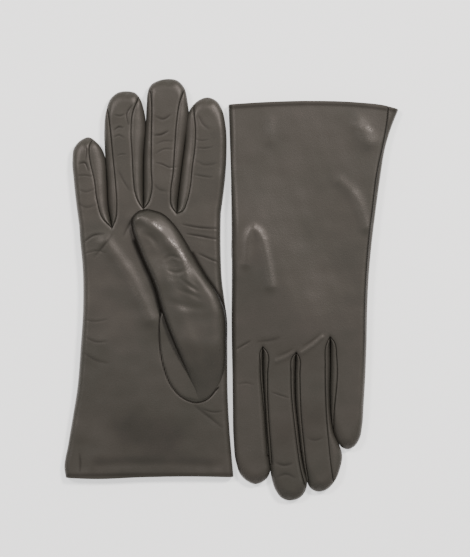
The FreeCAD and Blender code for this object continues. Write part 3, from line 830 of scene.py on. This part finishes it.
def make_hem_and_lining(glove, upper, lower, materials, body):
    """The cuff's turned edge and hem, and the lining that starts beneath the hem."""
    side = glove.side
    loop = np.concatenate([upper, lower[:, -2:0:-1]], axis=1)
    normals = loop_normals(loop)
    hem = []
    for angle in np.linspace(0, math.pi, 9):
        turned = loop[0] - normals[0] * (HEM_FOLD * (1 - math.cos(angle)))
        turned[:, 1] -= HEM_FOLD * math.sin(angle)
        hem.append(turned)
    hem_rows = int(HEM_DEPTH / GRID)
    hem.extend(loop[1:hem_rows] - normals[1:hem_rows] * 2 * HEM_FOLD)
    make_piece(f"{side}_cuff_hem", glove, [(closed(np.stack(hem)), True)], materials, body)
    start = hem_rows - 5
    rows = np.arange(start, int(LINING_END / GRID), 3)
    depth = (LINING_DEPTH + LINING_DEEPER * smoothstep(rows, start, start + 20))[:, None]
    room = upper[..., 2] - lower[..., 2]
    room = np.concatenate([room, room[:, -2:0:-1]], axis=1)[rows]
    level = smoothstep(np.abs(normals[rows, :, 2]), 0.3, 0.8)
    depth = depth + level * (np.minimum(depth, 0.35 * room) - depth)
    sock = loop[rows] - normals[rows] * depth[..., None]
    make_piece(f"{side}_hand_lining", glove, [(closed(sock[:, ::2]), True)], materials, body)


def lined(loop, share=0.84):
    """A lining inside a finger or thumb: the same loops drawn in towards their middles."""
    middle = loop.mean(axis=1, keepdims=True)
    return closed(middle + share * (loop - middle))


def joint_of(name):
    """The frame's joint of that name."""
    return next(joint for joint in frame["joints"] if joint["name"] == name)


def finger_bend(glove, name, border):
    """The blend between hand and finger, in metres: from the finger's border to past its hinge."""
    x, y, z = joint_of(f"{glove.side}_{name}_bend")["pos_m"]
    hinge = (y / MM - glove.origin[1]) * glove.forward
    before = hinge - border - 0.1
    after = max(before, 0) + FINGER_BEND_REACH
    start = (x, y - glove.forward * before * MM, z)
    end = (x, y + glove.forward * after * MM, z)
    return f"{glove.side}_hand", f"{glove.side}_{name}", start, end


def make_finger(glove, name, grids, materials, skin):
    """The leather pieces and the lining of one finger."""
    node = f"{glove.side}_{name}"
    upper, lower = grids["upper"], grids["lower"]
    bend = finger_bend(glove, name, upper[0, :, 1].max())
    if name in ("index", "little"):
        make_piece(f"{node}_leather", glove, [(upper, False), (lower, True)], materials, bend, skin,
                   glove.surface)
    else:
        faces = {"right": ("palm", "back"), "left": ("back", "palm")}[glove.side]
        for face, grid, flip in zip(faces, (upper, lower), (False, True)):
            make_piece(f"{node}_{face}_leather", glove, [(grid, flip)], materials, bend, skin, glove.surface)
    for label, which, flip in (("left", "outer", False), ("right", "inner", True)):
        if label in grids:
            make_piece(f"{node}_{which}_fourchette", glove, [(grids[label], flip)], materials, bend, None,
                       glove.surface)
    loop = np.concatenate([upper[:, ::2], lower[:, ::-2]], axis=1)[6:-12:2]
    make_piece(f"{node}_lining", glove, [(lined(loop), True)], materials, bend)


def make_glove(glove, materials):
    """Every piece of one glove but its thumb."""
    fingers = {name: finger_grids(glove, name) for name in FINGERS}
    upper, lower = hand_grids(glove, fingers)
    skin = Skin(
        [(upper, False), (lower, True)]
        + [(fingers[name]["upper"], False) for name in FINGERS]
        + [(fingers[name]["lower"], True) for name in FINGERS]
    )
    body = f"{glove.side}_hand"
    make_piece(f"{glove.side}_trank_hand", glove, [(upper, False), (lower, True)], materials, body, skin,
               glove.surface)
    make_hem_and_lining(glove, upper, lower, materials, body)
    for name in FINGERS:
        make_finger(glove, name, fingers[name], materials, skin)


# ---- thumbs

THUMB_LEFT = [(32.7, 52.2), (31.6, 58.1), (27.1, 68.3), (20.3, 82.9), (13.5, 98.7), (7.9, 114.5),
              (3.4, 130.3), (-4.5, 148.3), (-9, 160), (-12, 169), (-12, 176.6), (-8.1, 181.2), (-1.2, 183.2)]
THUMB_RIGHT = [(32.7, 52.2), (38.6, 54.2), (46.2, 62.6), (51.4, 76.2), (52.3, 94.2), (51.2, 113),
               (47, 124.6), (38.4, 137.4), (29.3, 152.8), (24, 162), (17, 172.4), (9, 179.8),
               (-1.2, 183.2)]
LEFT_THUMB_SHIFT = (8.4, -21)  # the left thumb lies further back than the right one
LEFT_THUMB_RIGHT = [(41.1, 31.2), (46.6, 36.6), (50.6, 46), (52, 60), (52.3, 75), (52, 92),
                    (50, 104), (45, 117), (38, 131), (32, 141), (25, 151),
                    (17, 158.8), (7.2, 162.2)]
GUSSET_LEFT = [(32.7, 52.2), (23.7, 54.7), (15.8, 62.6), (10.2, 76.2), (7.3, 94.2), (8.2, 112), (14, 122)]
GUSSET_RIGHT = [(32.7, 52.2), (39, 57), (43.5, 68), (45.5, 86), (44, 104), (36, 118), (14, 122)]
# Rises, glossy spots and folds of the right thumb as (points, strength, width).
THUMB_SWELLS = [
    ([(-9, 177), (-5.5, 176.5), (3.8, 170.4), (14.4, 158.6), (20.8, 150), (24.2, 140.5), (27.5, 128),
      (31, 112)], 1.5, 4.2),
    ([(6, 146), (14, 128), (22, 104), (31, 78)], 0.7, 6),
]
THUMB_GLINTS = [
    ([(-7, 178), (-2, 175.6)], 1, 1.8),
    ([(3, 172.8), (7.5, 169.4)], 1, 1.8),
    ([(13, 161.6), (18, 157)], 0.9, 1.9),
    ([(20.5, 154), (25, 146), (26.6, 141)], 1, 2),
    ([(7, 144), (12, 144)], 0.5, 1.6),
    ([(14, 135.2), (20, 135.6)], 0.7, 1.6),
    ([(21, 116), (27, 115)], 0.6, 2.6),
]
THUMB_CREASES = [
    ([(10, 148), (15, 151), (21, 149)], 0.31, 0.86),
    ([(13, 141), (18, 139.5), (25, 141.5)], 0.31, 0.92),
    ([(22, 135), (27, 131), (33, 127)], 0.28, 1.06),
    ([(20, 128), (27, 125.5), (35, 122)], 0.25, 1.19),
    ([(-3, 166), (2, 163), (6, 156)], 0.28, 1.45),
    ([(12, 121), (24, 117), (38, 115)], 0.22, 1.98),
]


def leaf_plan(left, right, rows, columns):
    """Plan of a leaf-shaped piece between two lines that start and end together."""
    share = close_ends(rows)
    return strip(along(left, share), along(right, share), close_ends(columns))


def shifted(points, shift):
    """A smooth curve through the points, moved by the shift."""
    return smooth_line([(x + shift[0], y + shift[1]) for x, y in points])


def outline_of_left_thumb():
    """The closed outline of the thumb under the left palm."""
    left = shifted(THUMB_LEFT, LEFT_THUMB_SHIFT)[::4]
    right = smooth_line(LEFT_THUMB_RIGHT)[::4]
    return np.vstack([left, right[::-1], left[:1]])


def thumb_relief(places):
    """The right thumb's crest, which fades out towards the hand, and its creases."""
    total = np.zeros(places.shape[:-1])
    for line, rise, width in marked(THUMB_SWELLS, 3.0):
        distance, length = nearest(places, line, 3 * width)
        fade = smoothstep(run_of(line)[-1] - length, 0.0, 30.0)
        total = total + rise * fade * bell(distance, width)
    for line, depth, width in marked(THUMB_CREASES, 1.5):
        distance, length = nearest(places, line, 5 * width)
        fold = 0.45 * bell(distance - 1.9 * width, width) - bell(distance, width)
        total = total + depth * fade_along(line, length, 0.02) * fold
    return total


def thumb_shape(left, right, thick):
    """Plan of a folded thumb, its thickness and how far it has rolled over at its outline."""
    plan = leaf_plan(left, right, *THUMB_SIZE)
    y = plan[..., 1] - left[0, 1]
    fold = nearest(plan, left[::2], 60.0)[0]
    outer = nearest(plan, right[::2], 60.0)[0]
    radius_left = 10.0 - 5.0 * smoothstep(y, 4.0, 28.0)
    radius_right = 14.0 - 7.0 * smoothstep(y, 20.0, 84.0)
    roll = rolled(fold, radius_left) * rolled(outer, radius_right)
    low, high, tip = thick
    depth = low + (high - low) * smoothstep(y, 2.0, 44.0) + (tip - high) * smoothstep(y, 95.0, 131.0)
    return plan, depth, roll, np.minimum(1.0, np.minimum(fold, outer))


def close_rim(upper, lower):
    """Joins the lower skin to the upper one all round."""
    for rim in (np.s_[:, 0], np.s_[:, -1], np.s_[0], np.s_[-1]):
        lower[rim] = upper[rim]


def thumb_bend(glove):
    """The blend across the thumb's hinge line, from the hand's side inwards."""
    joint = joint_of(f"{glove.side}_thumb_open")
    hinge, axis = np.array(joint["pos_m"]), np.array(joint["axis"])
    across = np.array([axis[1], -axis[0], 0.0]) / np.linalg.norm(axis)
    if across[0] * glove.forward > 0:
        across = -across
    start, end = hinge - across * THUMB_BEND_OUTWARD * MM, hinge + across * THUMB_BEND_INWARD * MM
    return f"{glove.side}_hand", f"{glove.side}_thumb", tuple(start), tuple(end)


def make_thumb(glove, upper, lower, materials, marks=None):
    """The leather and the lining of a thumb."""
    close_rim(upper, lower)
    bend = thumb_bend(glove)
    node = f"{glove.side}_thumb"
    make_piece(f"{node}_leather", glove, [(upper, False), (lower, True)], materials, bend, None, marks)
    loop = np.concatenate([upper[:, ::2], lower[:, ::-2]], axis=1)[24:-18:3]
    make_piece(f"{node}_lining", glove, [(lined(loop, 0.8), True)], materials, bend)


def make_gusset(glove, shift, height, rise, materials):
    """The thumb leather that lies flat inside the oval seam, on the palm's upper or lower side."""
    left, right = shifted(GUSSET_LEFT, shift), shifted(GUSSET_RIGHT, shift)
    plan = leaf_plan(left, right, *GUSSET_SIZE)
    border = np.minimum(nearest(plan, left, 60.0)[0], nearest(plan, right, 60.0)[0])
    z = np.maximum(height(plan) + rise * (rolled(border, 2.2) - 0.4), 0.1)
    grids = [(with_height(plan, z), rise < 0)]
    make_piece(f"{glove.side}_thumb_gusset", glove, grids, materials, f"{glove.side}_hand")


def make_right_thumb(glove, materials):
    """The thumb that lies folded over the palm."""
    def palm(places):
        return glove.upper(places, with_cut=False)

    left, right = shifted(THUMB_LEFT, (0, 0)), shifted(THUMB_RIGHT, (0, 0))
    plan, depth, roll, rim = thumb_shape(left, right, (1.6, 7.2, 6.2))
    relief = thumb_relief(plan) + waves(plan, 1.0)
    ground = palm(plan)
    upper = with_height(plan, ground + (depth + relief) * roll)
    lower = with_height(plan, ground + 0.3 * rim)

    def painted_shade(places):
        """Painted shade along the rolled-under sides, away from the sewn lower end."""
        sides = np.minimum(nearest(places, left[::3])[0], nearest(places, right[::3])[0])
        return 0.75 * bell(sides, 1.5) * smoothstep(places[..., 1], 62.0, 90.0)

    def polish(places):
        return spread(places, marked(THUMB_GLINTS, 3.0))

    make_thumb(glove, upper, lower, materials, {"painted_shade": painted_shade, "polish": polish})
    make_gusset(glove, (0, 0), palm, 0.7, materials)


def make_left_thumb(glove, materials):
    """The thumb that lies folded beneath the palm, on the table."""
    left, right = shifted(THUMB_LEFT, LEFT_THUMB_SHIFT), smooth_line(LEFT_THUMB_RIGHT)
    plan, depth, roll, _ = thumb_shape(left, right, (4.4, 8.0, 7.0))
    half = depth / 2
    relief = waves(plan, 2.0)
    upper = with_height(plan, THUMB_REST + half + (half + relief) * roll)
    lower = with_height(plan, THUMB_REST + half - half * roll ** 0.8)
    make_thumb(glove, upper, lower, materials)
    make_gusset(glove, LEFT_THUMB_SHIFT, glove.lower, -0.9, materials)


# ---- materials


def empty_material(name):
    """A new material without nodes, and a function that adds a node to it."""
    material = bpy.data.materials.new(name)
    material.use_nodes = True
    tree = material.node_tree
    tree.nodes.clear()

    def node(kind, inputs=None, **settings):
        made = tree.nodes.new(kind)
        for key, value in settings.items():
            setattr(made, key, value)
        for key, value in (inputs or {}).items():
            if isinstance(value, bpy.types.NodeSocket):
                tree.links.new(value, made.inputs[key])
            else:
                made.inputs[key].default_value = value
        return made

    return material, node


def leather_material():
    """Smooth, dyed glove leather: fine grain, slow changes of colour, satin gloss, and painted shade from a
    vertex attribute.
    """
    material, node = empty_material("leather")
    place = node("ShaderNodeTexCoord").outputs["Object"]
    cloud = node("ShaderNodeTexNoise", {"Vector": place, "Scale": 28.0, "Detail": 4.0, "Roughness": 0.55})
    tone = node("ShaderNodeValToRGB", {"Fac": cloud.outputs["Fac"]})
    ramp = tone.color_ramp
    ramp.elements[0].position, ramp.elements[0].color = 0.34, (0.042, 0.0405, 0.0335, 1)
    ramp.elements[1].position, ramp.elements[1].color = 0.68, (0.055, 0.0500, 0.0425, 1)
    pores = node("ShaderNodeTexVoronoi", {"Vector": place, "Scale": 1500.0, "Randomness": 1.0})
    fine = node("ShaderNodeTexNoise", {"Vector": place, "Scale": 900.0, "Detail": 3.0, "Roughness": 0.6})
    puckers = node("ShaderNodeTexNoise", {"Vector": place, "Scale": 560.0, "Detail": 2.0, "Roughness": 0.5})
    amount = node("ShaderNodeMath", {0: fine.outputs["Fac"], 1: 0.22}, operation="MULTIPLY")
    speck = node("ShaderNodeMix", {0: amount.outputs[0], 6: tone.outputs["Color"],
                                   7: (0.015, 0.0135, 0.011, 1)}, data_type="RGBA")
    rough = node("ShaderNodeMapRange", {"Value": cloud.outputs["Fac"], "From Min": 0.3, "From Max": 0.7,
                                        "To Min": 0.47, "To Max": 0.41})
    grain = node("ShaderNodeBump", {"Height": pores.outputs["Distance"], "Strength": 0.10,
                                    "Distance": 0.0004})
    cockle = node("ShaderNodeBump", {"Height": puckers.outputs["Fac"], "Strength": 0.10, "Distance": 0.0004,
                                     "Normal": grain.outputs["Normal"]})
    # Painted shade: this attribute darkens the colour towards near black in seams, folds and shadows.
    painted_shade = node("ShaderNodeAttribute", attribute_name="painted_shade").outputs["Fac"]
    shaded = node("ShaderNodeMix", {0: painted_shade, 6: speck.outputs[2], 7: (0.006, 0.005, 0.004, 1)},
                  data_type="RGBA")
    rubbed = node("ShaderNodeAttribute", attribute_name="polish").outputs["Fac"]
    patchy = node("ShaderNodeMapRange", {"Value": fine.outputs["Fac"], "From Min": 0.35, "From Max": 0.65})
    shine = node("ShaderNodeMath", {0: rubbed, 1: patchy.outputs["Result"]}, operation="MULTIPLY")
    # Painted shade also takes away the gloss there.
    dull = node("ShaderNodeMapRange", {"Value": painted_shade, "To Min": 0.36, "To Max": 0.02})
    gloss = node("ShaderNodeMath", {0: shine.outputs[0], 1: 0.64, 2: dull.outputs["Result"]},
                 operation="MULTIPLY_ADD")
    smooth = node("ShaderNodeMath", {0: shine.outputs[0], 1: -0.15, 2: rough.outputs["Result"]},
                  operation="MULTIPLY_ADD")
    shader = node("ShaderNodeBsdfPrincipled", {
        "Base Color": shaded.outputs[2], "Roughness": smooth.outputs[0], "Normal": cockle.outputs["Normal"],
        "Specular IOR Level": gloss.outputs[0], "Specular Tint": (1.0, 0.9, 0.86, 1),
    })
    node("ShaderNodeOutputMaterial", {"Surface": shader.outputs["BSDF"]})
    return material


def lining_material():
    """Brown knitted lining: fine ribs and a dull sheen."""
    material, node = empty_material("lining")
    place = node("ShaderNodeTexCoord").outputs["Object"]
    ribs = node("ShaderNodeTexWave", {"Vector": place, "Scale": 320.0, "Distortion": 1.5, "Detail": 2.0})
    tone = node("ShaderNodeValToRGB", {"Fac": ribs.outputs["Fac"]})
    tone.color_ramp.elements[0].color = (0.030, 0.026, 0.022, 1)
    tone.color_ramp.elements[1].color = (0.075, 0.064, 0.055, 1)
    bump = node("ShaderNodeBump", {"Height": ribs.outputs["Fac"], "Strength": 0.5, "Distance": 0.0004})
    shader = node("ShaderNodeBsdfPrincipled", {
        "Base Color": tone.outputs["Color"], "Roughness": 0.85, "Normal": bump.outputs["Normal"],
        "Sheen Weight": 0.3,
    })
    node("ShaderNodeOutputMaterial", {"Surface": shader.outputs["BSDF"]})
    return material


def table_material():
    """White and matt, a little brighter than the light alone makes it."""
    material = bpy.data.materials.new("table")
    material.use_nodes = True
    shader = material.node_tree.nodes["Principled BSDF"]
    shader.inputs["Base Color"].default_value = (0.93, 0.93, 0.925, 1)
    shader.inputs["Roughness"].default_value = 0.8
    shader.inputs["Emission Color"].default_value = (1, 1, 1, 1)
    shader.inputs["Emission Strength"].default_value = 0.9
    return material


# ---- surroundings


def make_table():
    """The plain floor under the gloves."""
    bpy.ops.mesh.primitive_plane_add(size=6.0, location=(0, 0, 0))
    table = bpy.context.object
    table.name = "table"
    table.data.materials.append(table_material())


def make_light(name, place, power, colour):
    """A soft round light that points at the gloves' middle."""
    data = bpy.data.lights.new(name, "AREA")
    data.shape, data.size, data.energy, data.color = "DISK", LIGHT_SIZE, power, colour
    light = bpy.data.objects.new(name, data)
    bpy.context.scene.collection.objects.link(light)
    light.location = place
    light.rotation_euler = (-Vector(place)).to_track_quat("-Z", "Y").to_euler()


def make_lights():
    """A key light, a fill light and an even sky."""
    make_light("key", (1.0, 1.0, 1.8), 46.0, (1.0, 0.95, 0.92))
    make_light("fill", (-1.1, 0.8, 1.8), 26.0, (1.0, 0.96, 0.94))
    world = bpy.data.worlds.new("world")
    world.use_nodes = True
    sky = world.node_tree.nodes["Background"].inputs
    sky["Color"].default_value = (0.98, 0.99, 1.0, 1)
    sky["Strength"].default_value = 0.4
    bpy.context.scene.world = world


def make_camera():
    """Straight above, far enough away that the gloves' sides don't show."""
    data = bpy.data.cameras.new("camera")
    data.sensor_fit = "HORIZONTAL"
    data.sensor_width = 36.0
    data.lens = data.sensor_width * (CAMERA_HEIGHT - LEVEL) / VIEW_WIDTH
    camera = bpy.data.objects.new("camera", data)
    bpy.context.scene.collection.objects.link(camera)
    camera.location = (*VIEW_MIDDLE, CAMERA_HEIGHT)
    bpy.context.scene.camera = camera


def main():
    """Builds both gloves and what surrounds them."""
    materials = {"leather": leather_material(), "lining": lining_material()}
    right = Glove("right", RIGHT_ORIGIN, 1, RIGHT_OUTLINE, RIGHT_HEIGHTS, RIGHT_MARKS)
    under = {"outline": outline_of_left_thumb(), "rim": LEFT_RIM, "rim_rise": 2.4}
    left = Glove("left", LEFT_ORIGIN, -1, LEFT_OUTLINE, LEFT_HEIGHTS, LEFT_MARKS, under)
    make_glove(right, materials)
    make_right_thumb(right, materials)
    make_glove(left, materials)
    make_left_thumb(left, materials)
    make_table()
    make_lights()
    make_camera()


main()
